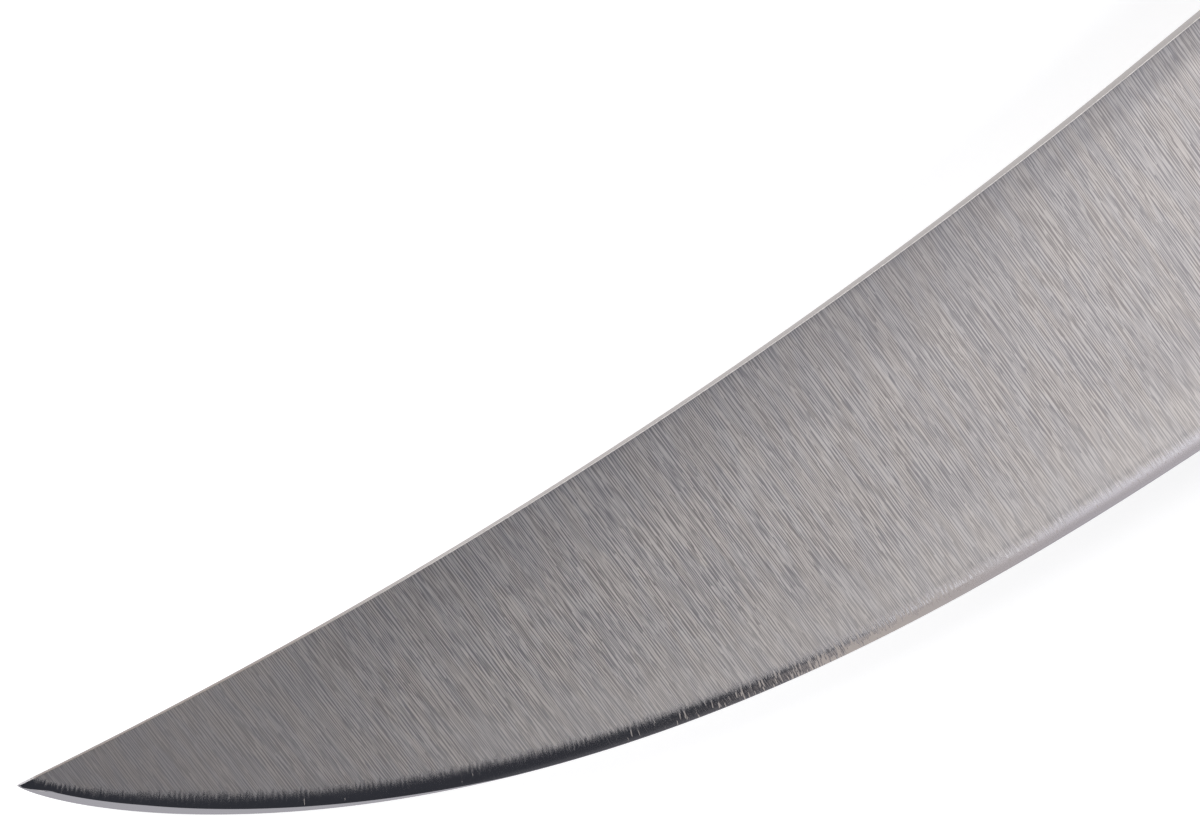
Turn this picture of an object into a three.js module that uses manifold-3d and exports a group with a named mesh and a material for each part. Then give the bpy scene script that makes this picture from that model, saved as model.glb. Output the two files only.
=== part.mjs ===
// Breaking knife: a curved ground steel blade on a full tang, two rosewood scales and three two-piece
// brass rivets. Millimetres. The knife lies on its right side: its left side faces up (+Z), its point
// is towards -X and its spine towards +Y.
//
// Working datum: x = 0 at the front of the handle, y = 0 on the line of the rivets, z = 0 in the middle
// of the blade's thickness. Heights are y, thicknesses are z, and a distance from the point runs along x.
import * as THREE from 'three';
import { mergeVertices } from 'three/addons/utils/BufferGeometryUtils.js';
import Module from 'manifold-3d';

const wasm = await Module();
wasm.setup();

// Blade outline
const BLADE_LENGTH = 254; // point to the front of the handle
const TIP_HEIGHT = 13; // the point
const TIP_SPINE_SLOPE = -0.158; // fall of the spine behind the point
const SADDLE_FROM_TIP = 160; // where the spine has climbed out of its dip
const SADDLE_HEIGHT = 8.3;
const SADDLE_SLOPE = 0.095;
const BELLY_FROM_TIP = 160; // lowest part of the edge
const BELLY_DROP = 50.6; // point down to the lowest part of the edge
const BELLY_FULLNESS = 2.74; // how early the sweep of the edge levels off
const TIP_ROUNDNESS = 0.814; // how steeply the edge leaves the point
const HEEL_SETBACK = 10; // heel to the front of the handle
const HEEL_RISE = 7.9; // lowest part of the edge up to the heel
const HEEL_RADIUS = 2; // eased corner of the heel
const CHOIL_RADIUS = 7; // hollow between the heel and the handle

// Blade thickness
const SHEET = 2.5; // steel sheet that the blade is stamped from
const GRIND_ALLOWANCE = 0.02; // ground faces lie this far inside the rolled sheet of the tang
const TIP_THICKNESS = 0.5; // spine at the point
const TAPER_LENGTH = 220; // the spine thins from here to the point
const TAPER_CURVE = 1.3; // above 1, so that it thins more and more slowly towards the point
const SPINE_EASE = 0.2; // eased corners of the spine
const GRIND_RUN = 45; // the grind leaves the spine this far ahead of the handle
const SHOULDER_THICKNESS = 0.5; // top of the edge bevel, along the belly
const TIP_SHOULDER = 0.24; // top of the edge bevel, at the point
const BEVEL_WIDTH = 2.8; // convex edge bevel
const BEVEL_ROUND = 1.8; // fullness of the convex bevel
const MICRO_WIDTH = 0.35; // honed edge
const MICRO_ANGLE = 17; // honed edge, degrees a side
const BEVEL_LIMIT = 0.4; // the most of a section's height that the bevel takes, close to the point
const EASE_LIMIT = 0.1; // the most of it that the eased corner takes

// Handle outline, shared by the tang and the scales
const HANDLE_LENGTH = 135;
const FRONT_TOP = 14; // meets the spine
const FRONT_BOTTOM = -14;
const FRONT_LAND = 2; // straight stretch behind the rounded front edge
const GROOVE_FROM_FRONT = 24; // finger groove
const GROOVE_BOTTOM = -11.8;
const SWELL_FROM_FRONT = 57; // palm swell
const SWELL_BOTTOM = -15;
const WAIST_FROM_BUTT = 40; // waist ahead of the hooked butt
const WAIST_BOTTOM = -12.2;
const HOOK_FROM_BUTT = 12; // lowest part of the hooked butt
const HOOK_BOTTOM = -19.5;
const BUTT_HEIGHT = -4; // rearmost part of the butt
const CROWN_FROM_FRONT = 50; // top of the back of the handle
const CROWN_TOP = 15;
const REAR_FROM_BUTT = 30; // where the back starts to round over into the butt
const REAR_TOP = 12.6;

// Handle thickness
const HANDLE_THICKNESS = 20; // across both scales
const GLUE_LINE = 0.1; // tang to scale
const ROUND_WIDTH = 4.2; // rounded edges of the scales, seen from the side
const ROUND_DEPTH = 6; // rounded edges of the scales, through the thickness

// Rivets
const FRONT_RIVET = 19; // from the front of the handle
const REAR_RIVET = 25; // from the butt
const HEAD_RADIUS = 4;
const HEAD_THICKNESS = 1.8;
const HEAD_CHAMFER = 0.15;
const HEAD_RECESS = 0.05; // heads below the faces of the scales
const PIN_RADIUS = 1.6;
const PIN_CLEARANCE = 0.1; // pin to bore
const PIN_CHAMFER = 0.3;
const PIN_END_GAP = 0.5; // end of the pin to the floor of the bore
const TUBE_WALL = 0.8;
const TUBE_END_GAP = 0.3; // end of the tube to the male head
const BORE_START = 0.8; // solid shank between the female head and its bore
const RIVET_CLEARANCE = 0.1; // round the rivets, in the scales and the tang
const SEAT_GAP = 0.05; // head to the floor of its counterbore

// Fineness of the solids
const STATIONS = 44; // sections along the blade
const STATION_CROWDING = 1.6; // sections draw together towards the point
const BEVEL_STEPS = 3;
const SLOPE_STEP = 0.001; // share of a distance over which a slope is taken
const OUTLINE_STEPS = 8; // chords in each curve of an outline
const ROUND_STEPS = 5;
const ROUND_SIDES = 24;
const TANG_LAP = 0.5; // ground blade reaches this far into the tang
const CUT_MARGIN = 5; // cutting shapes reach this far past what they cut

// Worked out from the sizes above
const BORE_RADIUS = PIN_RADIUS + PIN_CLEARANCE;
const TUBE_RADIUS = BORE_RADIUS + TUBE_WALL;
const HEAD_FACE = HANDLE_THICKNESS / 2 - HEAD_RECESS; // z of a head's outer face, on the left side
const HEAD_UNDERSIDE = HEAD_FACE - HEAD_THICKNESS;
const BORE_FLOOR = BORE_START - HEAD_UNDERSIDE;
const RIVETS = {
  front: FRONT_RIVET,
  middle: (FRONT_RIVET + HANDLE_LENGTH - REAR_RIVET) / 2,
  rear: HANDLE_LENGTH - REAR_RIVET,
};

const STEEL = new THREE.MeshStandardMaterial({ color: 0xb3aeae, roughness: 0.38, metalness: 1 });
const ROSEWOOD = new THREE.MeshStandardMaterial({ color: 0x5b2e1f, roughness: 0.5, metalness: 0 });
const BRASS = new THREE.MeshStandardMaterial({ color: 0xc8a052, roughness: 0.3, metalness: 1 });

// Height on a smooth span that starts and ends at given heights and slopes, for t from 0 to 1
function span(t, length, height0, slope0, height1, slope1) {
  const leaving = (1 - t) ** 2 * ((1 + 2 * t) * height0 + t * length * slope0);
  const arriving = t ** 2 * ((3 - 2 * t) * height1 - (1 - t) * length * slope1);
  return leaving + arriving;
}

// Height of the spine at a distance from the point
function spineHeight(fromTip) {
  if (fromTip < SADDLE_FROM_TIP) {
    const t = fromTip / SADDLE_FROM_TIP;
    return span(t, SADDLE_FROM_TIP, TIP_HEIGHT, TIP_SPINE_SLOPE, SADDLE_HEIGHT, SADDLE_SLOPE);
  }
  const length = BLADE_LENGTH - SADDLE_FROM_TIP;
  const t = Math.min(1, (fromTip - SADDLE_FROM_TIP) / length);
  return span(t, length, SADDLE_HEIGHT, SADDLE_SLOPE, FRONT_TOP - GRIND_ALLOWANCE, 0);
}

// Height of the cutting edge at a distance from the point
function edgeHeight(fromTip) {
  if (fromTip < BELLY_FROM_TIP) {
    const sweep = 1 - (1 - fromTip / BELLY_FROM_TIP) ** BELLY_FULLNESS;
    return TIP_HEIGHT - BELLY_DROP * sweep ** TIP_ROUNDNESS;
  }
  const t = (fromTip - BELLY_FROM_TIP) / (BLADE_LENGTH - HEEL_SETBACK - BELLY_FROM_TIP);
  return TIP_HEIGHT - BELLY_DROP + HEEL_RISE * t ** 2;
}

// A thickness that grows from the point to the start of the parallel sheet
function distal(fromTip, atTip, full) {
  return atTip + (full - atTip) * Math.min(1, fromTip / TAPER_LENGTH) ** TAPER_CURVE;
}

// Lower border of the parallel flat beside the handle: from the handle's underside up to the spine
function grindHeight(fromTip) {
  const t = (BLADE_LENGTH - fromTip) / GRIND_RUN;
  return FRONT_BOTTOM + (FRONT_TOP - FRONT_BOTTOM) * t;
}

// Left half of one blade section as [height, half thickness], from the spine down to the honed edge
function halfSection(fromTip) {
  const top = spineHeight(fromTip);
  const bottom = edgeHeight(fromTip);
  const height = top - bottom;
  const probe = fromTip * SLOPE_STEP;
  const slope = (edgeHeight(fromTip + probe) - edgeHeight(fromTip - probe)) / (2 * probe);
  const stretch = Math.hypot(1, slope); // widths are square to the edge, sections are upright
  const bevel = Math.min(BEVEL_WIDTH * stretch, BEVEL_LIMIT * height);
  const micro = bevel * (MICRO_WIDTH / BEVEL_WIDTH);
  const spineHalf = distal(fromTip, TIP_THICKNESS, SHEET - 2 * GRIND_ALLOWANCE) / 2;
  const shoulderHalf = distal(fromTip, TIP_SHOULDER, SHOULDER_THICKNESS) / 2;
  const fullMicroHalf = MICRO_WIDTH * Math.tan(THREE.MathUtils.degToRad(MICRO_ANGLE));
  const microHalf = Math.min(fullMicroHalf, shoulderHalf / 2);
  const ease = Math.min(SPINE_EASE, spineHalf / 2, EASE_LIMIT * height);
  const grind = Math.min(grindHeight(fromTip), top - 2 * ease);
  const points = [[top, spineHalf - ease], [top - ease, spineHalf], [grind, spineHalf]];
  for (let i = 0; i <= BEVEL_STEPS; i += 1) {
    const up = 1 - i / BEVEL_STEPS;
    const fullness = 1 - (1 - up) ** BEVEL_ROUND;
    points.push([
      bottom + micro + (bevel - micro) * up,
      microHalf + (shoulderHalf - microHalf) * fullness,
    ]);
  }
  return points;
}

// Distances from the point of the sections after it, drawn together towards the point
function stationDistances() {
  const end = BLADE_LENGTH + TANG_LAP;
  return Array.from({ length: STATIONS }, (_, i) => end * ((i + 1) / STATIONS) ** STATION_CROWDING);
}

// Ground blade with its virtual edge running on past the heel, as rings joined from the point backwards
function groundBlade() {
  const positions = [-BLADE_LENGTH, TIP_HEIGHT, 0];
  const distances = stationDistances();
  const sides = distances.map(halfSection);
  const side = sides[0].length;
  const ring = 2 * side + 1;
  distances.forEach((fromTip, i) => {
    const x = fromTip - BLADE_LENGTH;
    sides[i].forEach(([y, half]) => positions.push(x, y, half));
    positions.push(x, edgeHeight(fromTip), 0);
    sides[i].toReversed().forEach(([y, half]) => positions.push(x, y, -half));
  });
  const index = [];
  const at = (station, k) => 1 + station * ring + (k % ring);
  for (let k = 0; k < ring; k += 1) {
    index.push(0, at(0, k + 1), at(0, k));
    for (let i = 0; i + 1 < STATIONS; i += 1) {
      index.push(at(i, k), at(i, k + 1), at(i + 1, k));
      index.push(at(i, k + 1), at(i + 1, k + 1), at(i + 1, k));
    }
  }
  const last = STATIONS - 1;
  for (let k = 0; k < side; k += 1) {
    index.push(at(last, k), at(last, k + 1), at(last, ring - 1 - k));
    if (k + 1 < side) {
      index.push(at(last, k + 1), at(last, ring - 2 - k), at(last, ring - 1 - k));
    }
  }
  const geometry = new THREE.BufferGeometry();
  geometry.setAttribute('position', new THREE.Float32BufferAttribute(positions, 3));
  geometry.setIndex(index);
  return toSolid(geometry);
}

// Joined positions only, without triangles that have shrunk to a line
function toSolid(geometry) {
  const bare = geometry.clone();
  bare.deleteAttribute('normal');
  bare.deleteAttribute('uv');
  const merged = mergeVertices(bare);
  const triangles = [];
  for (let i = 0; i < merged.index.count; i += 3) {
    const corners = [0, 1, 2].map((k) => merged.index.getX(i + k));
    if (new Set(corners).size === 3) {
      triangles.push(...corners);
    }
  }
  return new wasm.Manifold(new wasm.Mesh({
    numProp: 3,
    vertProperties: new Float32Array(merged.attributes.position.array),
    triVerts: new Uint32Array(triangles),
  }));
}

function toGeometry(solid) {
  const { vertProperties, triVerts, numProp } = solid.getMesh();
  const geometry = new THREE.BufferGeometry();
  geometry.setAttribute('position', new THREE.BufferAttribute(vertProperties, numProp));
  geometry.setIndex(new THREE.BufferAttribute(triVerts, 1));
  geometry.computeVertexNormals();
  return geometry;
}

// Solid of an outline, centred through the thickness
function plate(shape, thickness) {
  const options = { depth: thickness, bevelEnabled: false, curveSegments: OUTLINE_STEPS };
  return toSolid(new THREE.ExtrudeGeometry(shape, options).translate(0, 0, -thickness / 2));
}

// Solid of revolution about a line through the thickness, from a profile of [radius, z] that runs upwards
function turned(profile, x) {
  const points = profile.map(([radius, z]) => new THREE.Vector2(radius, z));
  const geometry = new THREE.LatheGeometry(points, ROUND_SIDES).rotateX(Math.PI / 2);
  return toSolid(geometry.translate(x, 0, 0));
}

// A wave of an outline that leaves and arrives level
function waveTo(shape, [x, y]) {
  const from = shape.currentPoint.clone();
  const middle = (from.x + x) / 2;
  shape.bezierCurveTo(middle, from.y, middle, y, x, y);
}

// Side view of the handle: back, rounded butt, hook, waist, palm swell and finger groove
function handleOutline() {
  const rear = [HANDLE_LENGTH - REAR_FROM_BUTT, REAR_TOP];
  const hook = [HANDLE_LENGTH - HOOK_FROM_BUTT, HOOK_BOTTOM];
  const straight = ROUND_WIDTH + FRONT_LAND;
  const shape = new THREE.Shape();
  shape.moveTo(0, FRONT_TOP);
  shape.lineTo(straight, FRONT_TOP);
  waveTo(shape, [CROWN_FROM_FRONT, CROWN_TOP]);
  waveTo(shape, rear);
  const butt = [HANDLE_LENGTH, BUTT_HEIGHT];
  const over = [(rear[0] + butt[0]) / 2, (rear[1] + butt[1]) / 2];
  shape.bezierCurveTo(over[0], rear[1], butt[0], over[1], ...butt);
  const under = [(hook[0] + butt[0]) / 2, (hook[1] + butt[1]) / 2];
  shape.bezierCurveTo(butt[0], under[1], under[0], hook[1], ...hook);
  waveTo(shape, [HANDLE_LENGTH - WAIST_FROM_BUTT, WAIST_BOTTOM]);
  waveTo(shape, [SWELL_FROM_FRONT, SWELL_BOTTOM]);
  waveTo(shape, [GROOVE_FROM_FRONT, GROOVE_BOTTOM]);
  waveTo(shape, [straight, FRONT_BOTTOM]);
  shape.lineTo(0, FRONT_BOTTOM);
  shape.closePath();
  return shape;
}

// What is cut away behind the heel: the eased heel corner and the hollow up to the handle's underside
function choilCut() {
  const heelX = -HEEL_SETBACK;
  const ceiling = FRONT_BOTTOM + GRIND_ALLOWANCE;
  const easeX = heelX - HEEL_RADIUS;
  const easeY = edgeHeight(BLADE_LENGTH + easeX) + HEEL_RADIUS - MICRO_WIDTH;
  const right = TANG_LAP + CUT_MARGIN;
  const floor = TIP_HEIGHT - BELLY_DROP - CUT_MARGIN;
  const shape = new THREE.Shape();
  shape.moveTo(easeX, floor);
  shape.lineTo(easeX, easeY - HEEL_RADIUS);
  shape.absarc(easeX, easeY, HEEL_RADIUS, -Math.PI / 2, 0, false);
  shape.lineTo(heelX, ceiling - CHOIL_RADIUS);
  shape.absarc(heelX + CHOIL_RADIUS, ceiling - CHOIL_RADIUS, CHOIL_RADIUS, Math.PI, Math.PI / 2, true);
  shape.lineTo(right, ceiling);
  shape.lineTo(right, floor);
  shape.closePath();
  return plate(shape, SHEET + 2 * CUT_MARGIN);
}

// Room for one rivet: its shank and, at each side, its head
function rivetHole(x) {
  const shank = TUBE_RADIUS + RIVET_CLEARANCE;
  const head = HEAD_RADIUS + RIVET_CLEARANCE;
  const seat = HEAD_UNDERSIDE - SEAT_GAP;
  const out = HANDLE_THICKNESS / 2 + CUT_MARGIN;
  return turned([[0, -out], [head, -out], [head, -seat], [shank, -seat],
    [shank, seat], [head, seat], [head, out], [0, out]], x);
}

// Half with the pin, its head on the left side
function maleHalf(x) {
  const end = BORE_FLOOR + PIN_END_GAP;
  return turned([[0, end], [PIN_RADIUS - PIN_CHAMFER, end], [PIN_RADIUS, end + PIN_CHAMFER],
    [PIN_RADIUS, HEAD_UNDERSIDE], [HEAD_RADIUS, HEAD_UNDERSIDE],
    [HEAD_RADIUS, HEAD_FACE - HEAD_CHAMFER], [HEAD_RADIUS - HEAD_CHAMFER, HEAD_FACE], [0, HEAD_FACE]], x);
}

// Half with the tube, its head on the right side
function femaleHalf(x) {
  const face = -HEAD_FACE;
  const end = HEAD_UNDERSIDE - TUBE_END_GAP;
  return turned([[0, face], [HEAD_RADIUS - HEAD_CHAMFER, face], [HEAD_RADIUS, face + HEAD_CHAMFER],
    [HEAD_RADIUS, -HEAD_UNDERSIDE], [TUBE_RADIUS, -HEAD_UNDERSIDE], [TUBE_RADIUS, end],
    [BORE_RADIUS, end], [BORE_RADIUS, BORE_FLOOR], [0, BORE_FLOOR]], x);
}

function drilled(solid) {
  return Object.values(RIVETS).reduce((rest, x) => rest.subtract(rivetHole(x)), solid);
}

// Blade and tang in one piece
function blade() {
  const tang = drilled(plate(handleOutline(), SHEET));
  return groundBlade().subtract(choilCut()).add(tang);
}

// One scale: the rounded handle, cut back to one side of the tang. Side is 1 for left and -1 for right.
function scale(side) {
  const straight = HANDLE_THICKNESS - 2 * ROUND_DEPTH;
  const handle = new THREE.ExtrudeGeometry(handleOutline(), {
    depth: straight,
    bevelThickness: ROUND_DEPTH,
    bevelSize: ROUND_WIDTH,
    bevelOffset: -ROUND_WIDTH,
    bevelSegments: ROUND_STEPS,
    curveSegments: OUTLINE_STEPS,
  }).translate(0, 0, -straight / 2);
  const inner = SHEET / 2 + GLUE_LINE;
  const reach = 2 * (HANDLE_LENGTH + CUT_MARGIN);
  const room = new THREE.BoxGeometry(reach, reach, HANDLE_THICKNESS);
  room.translate(0, 0, side * (inner + HANDLE_THICKNESS / 2));
  return drilled(toSolid(handle).intersect(toSolid(room)));
}

function addPart(group, name, solid, material) {
  const mesh = new THREE.Mesh(toGeometry(solid), material);
  mesh.name = name;
  group.add(mesh);
}

const knife = new THREE.Group();
addPart(knife, 'blade', blade(), STEEL);
addPart(knife, 'scale_left', scale(1), ROSEWOOD);
addPart(knife, 'scale_right', scale(-1), ROSEWOOD);
for (const [place, x] of Object.entries(RIVETS)) {
  addPart(knife, `rivet_${place}_male`, maleHalf(x), BRASS);
  addPart(knife, `rivet_${place}_female`, femaleHalf(x), BRASS);
}

// Origin at the middle of the base: the knife lies on the right scale
const box = new THREE.Box3().setFromObject(knife, true);
const middle = box.getCenter(new THREE.Vector3());
knife.position.set(-middle.x, -middle.y, -box.min.z);

export default knife;
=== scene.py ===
"""Looks of the breaking knife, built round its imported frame.

The knife lies on its right side, with its point towards -X and its spine towards +Y. Sizes here are
millimetres in the knife's own datum: x = 0 at the front of the handle, y = 0 on the line of the rivets and
z = 0 in the middle of the blade's thickness. Blender's meshes are metres in the frame.
"""

import logging
import math
from collections.abc import Sequence
from dataclasses import dataclass, fields
from enum import Enum

import bmesh
import bpy
import numpy as np
from mathutils import Matrix, Vector
from mathutils.geometry import tessellate_polygon


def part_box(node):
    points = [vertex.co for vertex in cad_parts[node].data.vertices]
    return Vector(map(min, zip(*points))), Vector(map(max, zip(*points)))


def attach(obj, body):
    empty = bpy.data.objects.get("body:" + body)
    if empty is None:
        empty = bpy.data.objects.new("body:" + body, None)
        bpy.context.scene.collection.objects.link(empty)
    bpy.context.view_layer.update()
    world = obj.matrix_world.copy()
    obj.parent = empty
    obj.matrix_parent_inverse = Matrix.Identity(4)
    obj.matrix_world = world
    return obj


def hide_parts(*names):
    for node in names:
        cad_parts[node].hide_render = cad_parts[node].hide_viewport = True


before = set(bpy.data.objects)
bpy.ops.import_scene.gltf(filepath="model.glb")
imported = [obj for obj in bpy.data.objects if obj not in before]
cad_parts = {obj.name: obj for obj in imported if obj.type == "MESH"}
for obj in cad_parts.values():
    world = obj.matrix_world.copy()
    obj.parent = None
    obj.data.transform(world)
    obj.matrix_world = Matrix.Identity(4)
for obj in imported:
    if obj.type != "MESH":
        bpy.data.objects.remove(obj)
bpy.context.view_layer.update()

MM = 0.001  # a millimetre in Blender's metres
BODY = "root"  # the knife has no joints, so every piece rides on the one body
LOG = logging.getLogger("breaking_knife")
WELD = 0.0005  # points closer than this, in millimetres, become one
RIM_WELD = 0.001  # the same, where the two sides of the blade meet
SLOPE_STEP = 0.001  # share of a distance over which a slope is taken
SHARE_STEP = 0.001  # shares closer than this are equal
GRAIN_ROUGHNESS = 0.6  # weight of each finer octave of a grain
NOISE_MIDDLE = 0.5
FLANK_OFFSET = 0.45  # widths of a scratch from one flank to the other

Node = bpy.types.Node
NodeTree = bpy.types.NodeTree
Socket = bpy.types.NodeSocket
Object = bpy.types.Object
Mesh = bpy.types.Mesh
Material = bpy.types.Material
Source = Node | Socket
Point = tuple[float, float]
Size = tuple[float, float, float]
Colour = tuple[float, float, float, float]


class Side(Enum):
    """Side of the knife, as the sign of z there."""

    LEFT = 1
    RIGHT = -1


class Slot(Enum):
    """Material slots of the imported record."""

    STEEL = "blade_steel"
    WOOD = "rosewood"
    BRASS = "rivet_brass"


def linear(srgb: str) -> Colour:
    """Turn an sRGB colour to linear light.

    Args:
        srgb: Hex colour such as "#b3aeae".

    Returns:
        Linear red, green and blue, with full alpha.
    """
    channels = [int(srgb[i:i + 2], 16) / 255 for i in (1, 3, 5)]
    lit = [c / 12.92 if c <= 0.04045 else ((c + 0.055) / 1.055) ** 2.4 for c in channels]
    return lit[0], lit[1], lit[2], 1.0


def add_node(tree: NodeTree, kind: str, inputs: dict | None = None, **settings) -> Node:
    """Add a node with its settings and feed its inputs.

    Args:
        tree: Tree that takes the node.
        kind: Blender's name for the type of node.
        inputs: By the name, identifier or place of an input: a value, a socket, a node whose first output
            is meant, or a list of those for an input that takes several.
        settings: Properties of the node itself.

    Returns:
        The new node.
    """
    node = tree.nodes.new(kind)
    for name, setting in settings.items():
        setattr(node, name, setting)
    for key, given in (inputs or {}).items():
        if isinstance(key, int):
            target = node.inputs[key]
        else:
            target = next(s for s in node.inputs if s.enabled and key in (s.identifier, s.name))
        for value in given if isinstance(given, list) else [given]:
            if isinstance(value, Node):
                value = next(s for s in value.outputs if s.enabled)
            if isinstance(value, Socket):
                tree.links.new(value, target)
            else:
                target.default_value = value
    return node


def new_tree(name: str, sizes: dict[str, str]) -> tuple[NodeTree, Node]:
    """Start a Geometry Nodes tree that takes and gives geometry.

    Args:
        name: Name of the tree.
        sizes: Socket type of each named input after the geometry.

    Returns:
        The tree and its group input node.
    """
    tree = bpy.data.node_groups.new(name, "GeometryNodeTree")
    tree.interface.new_socket("Geometry", in_out="INPUT", socket_type="NodeSocketGeometry")
    tree.interface.new_socket("Geometry", in_out="OUTPUT", socket_type="NodeSocketGeometry")
    for label, socket_type in sizes.items():
        tree.interface.new_socket(label, in_out="INPUT", socket_type=socket_type)
    return tree, tree.nodes.new("NodeGroupInput")


def end_tree(tree: NodeTree, geometry: Node, material: Socket) -> None:
    """Close a tree: realize what it made and set its material.

    Args:
        tree: Tree to close.
        geometry: Node that gives the geometry.
        material: Socket that gives the material.
    """
    real = add_node(tree, "GeometryNodeRealizeInstances", {"Geometry": geometry})
    dressed = add_node(tree, "GeometryNodeSetMaterial", {"Geometry": real, "Material": material})
    add_node(tree, "NodeGroupOutput", {"Geometry": dressed})


def apply_tree(piece: Object, tree: NodeTree, values: dict) -> None:
    """Run a tree on a piece and keep the result as its plain mesh.

    Args:
        piece: Object whose mesh goes in and is replaced.
        tree: Geometry Nodes tree.
        values: Value of each named input.
    """
    modifier = piece.modifiers.new(tree.name, "NODES")
    modifier.node_group = tree
    for socket in tree.interface.items_tree:
        if socket.in_out == "INPUT" and socket.name in values:
            modifier[socket.identifier] = values[socket.name]
    bpy.context.view_layer.update()
    made = bpy.data.meshes.new_from_object(piece.evaluated_get(bpy.context.evaluated_depsgraph_get()))
    piece.modifiers.clear()
    start = piece.data
    piece.data = made
    made.name = piece.name
    bpy.data.meshes.remove(start)


def link_object(name: str, mesh: Mesh) -> Object:
    """Put a mesh in the scene as an object at the origin.

    Args:
        name: Name of the object.
        mesh: Its mesh, already in place in the frame.

    Returns:
        The new object.
    """
    piece = bpy.data.objects.new(name, mesh)
    bpy.context.scene.collection.objects.link(piece)
    return piece


def shade(mesh: Mesh, crease: float) -> None:
    """Turn faces outwards, smooth them and keep edges sharper than a crease crisp.

    Args:
        mesh: Closed mesh.
        crease: Angle in degrees.
    """
    work = bmesh.new()
    work.from_mesh(mesh)
    bmesh.ops.remove_doubles(work, verts=work.verts, dist=WELD * MM)
    bmesh.ops.recalc_face_normals(work, faces=work.faces)
    work.to_mesh(mesh)
    work.free()
    mesh.shade_smooth()
    mesh.set_sharp_from_angle(angle=math.radians(crease))


def seat(piece: Object, nodes: Sequence[str]) -> None:
    """Let a finished piece ride on the knife and stand for its nodes.

    Args:
        piece: Finished object.
        nodes: Nodes of the frame that it replaces.
    """
    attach(piece, BODY)
    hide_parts(*nodes)
    piece.data.calc_loop_triangles()
    LOG.info("%s: %d triangles, stands for %s", piece.name, len(piece.data.loop_triangles), ", ".join(nodes))


@dataclass(frozen=True)
class Datum:
    """Where the knife's own datum lies in the frame, in metres."""

    front: float
    rivet_line: float
    middle: float

    def place(self, x: float, y: float, z: float) -> Vector:
        """Turn millimetres in the knife's datum to metres in the frame."""
        return Vector((self.front + x * MM, self.rivet_line + y * MM, self.middle + z * MM))


def frame_datum() -> Datum:
    """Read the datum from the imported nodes."""
    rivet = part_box("rivet_front_male")
    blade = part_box("blade")
    return Datum(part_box("scale_left")[0].x, (rivet[0].y + rivet[1].y) / 2, (blade[0].z + blade[1].z) / 2)


@dataclass(frozen=True)
class Band:
    """Range of a measure over which something changes, and its strength at both ends."""

    start: float
    end: float | Node
    low: float = 0.0
    high: float = 1.0


@dataclass(frozen=True)
class PatternMaker:
    """Patterns for one material, in millimetres of the piece's own Object coordinates."""

    tree: NodeTree

    def object_coordinates(self) -> Socket:
        """Give the socket with the piece's Object coordinates."""
        return add_node(self.tree, "ShaderNodeTexCoord").outputs["Object"]

    def grain(self, where: Source, size: Size, seed: float, detail: float = 2.0, unit: float = MM) -> Node:
        """Add noise stretched to a grain's size.

        Args:
            where: Coordinates.
            size: Length of one grain along each axis, in millimetres.
            seed: Fixed place in the noise.
            detail: Octaves of finer grain.
            unit: What one millimetre is in those coordinates.

        Returns:
            The noise node, whose first output lies about one half.
        """
        mapping = {"Vector": where, "Scale": tuple(unit * length for length in size)}
        mapped = add_node(self.tree, "ShaderNodeMapping", mapping, vector_type="TEXTURE")
        noise = {"Vector": mapped, "W": seed, "Scale": 1.0, "Detail": detail, "Roughness": GRAIN_ROUGHNESS}
        return add_node(self.tree, "ShaderNodeTexNoise", noise, noise_dimensions="4D")

    def scratches(self, where: Socket, size: Point, turn: float, seed: float) -> Node:
        """Add the flanks of fine straight scratches on faces seen along z.

        Args:
            where: Coordinates.
            size: Width and length of a scratch, in millimetres.
            turn: Angle in degrees from the y axis, against the clock.
            seed: Fixed place in the noise, in millimetres along x.

        Returns:
            A node whose value lies about zero, above it on one flank and below it on the other.
        """
        width, length = size
        flanks = []
        for place in (seed, seed + FLANK_OFFSET * width):
            mapping = {"Vector": where, "Location": (place * MM, 0.0, 0.0),
                       "Rotation": (0.0, 0.0, math.radians(turn)), "Scale": (width * MM, length * MM, 1.0)}
            mapped = add_node(self.tree, "ShaderNodeMapping", mapping, vector_type="TEXTURE")
            noise = {"Vector": mapped, "Scale": 1.0, "Detail": 0.0}
            flanks.append(add_node(self.tree, "ShaderNodeTexNoise", noise, noise_dimensions="2D"))
        return add_node(self.tree, "ShaderNodeMath", {0: flanks[0], 1: flanks[1]}, operation="SUBTRACT")

    def ramp(self, measure: Source, band: Band) -> Node:
        """Map a measure smoothly through a band.

        Args:
            measure: What is mapped.
            band: Where the change starts and ends, and what it gives there.

        Returns:
            The mapping node.
        """
        spread = {"Value": measure, "From Min": band.start, "From Max": band.end, "To Min": band.low,
                  "To Max": band.high}
        return add_node(self.tree, "ShaderNodeMapRange", spread, interpolation_type="SMOOTHSTEP")

    def blend(self, first: Node | str, second: Node | str, *shares: Node | float) -> Node:
        """Mix two colours, each a hex value or a node that gives it.

        Args:
            first: Colour where the shares are 0.
            second: Colour where all of them are 1.
            shares: Shares of the second colour, which are multiplied.

        Returns:
            The mixing node.
        """
        whole = shares[0]
        for share in shares[1:]:
            whole = add_node(self.tree, "ShaderNodeMath", {0: whole, 1: share}, operation="MULTIPLY")
        below, above = (linear(tint) if isinstance(tint, str) else tint for tint in (first, second))
        inputs = {"Factor_Float": whole, "A_Color": below, "B_Color": above}
        return add_node(self.tree, "ShaderNodeMix", inputs, data_type="RGBA")


def start_material(name: str) -> tuple[Material, PatternMaker]:
    """Start an empty node material.

    Args:
        name: Common name of the real material.

    Returns:
        The material and the pattern maker on its tree.
    """
    material = bpy.data.materials.new(name)
    material.use_nodes = True
    material.node_tree.nodes.clear()
    return material, PatternMaker(material.node_tree)


def end_material(material: Material, shader: Node) -> Material:
    """Connect a material's shader to its output and give the material back."""
    add_node(material.node_tree, "ShaderNodeOutputMaterial", {"Surface": shader})
    return material


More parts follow.
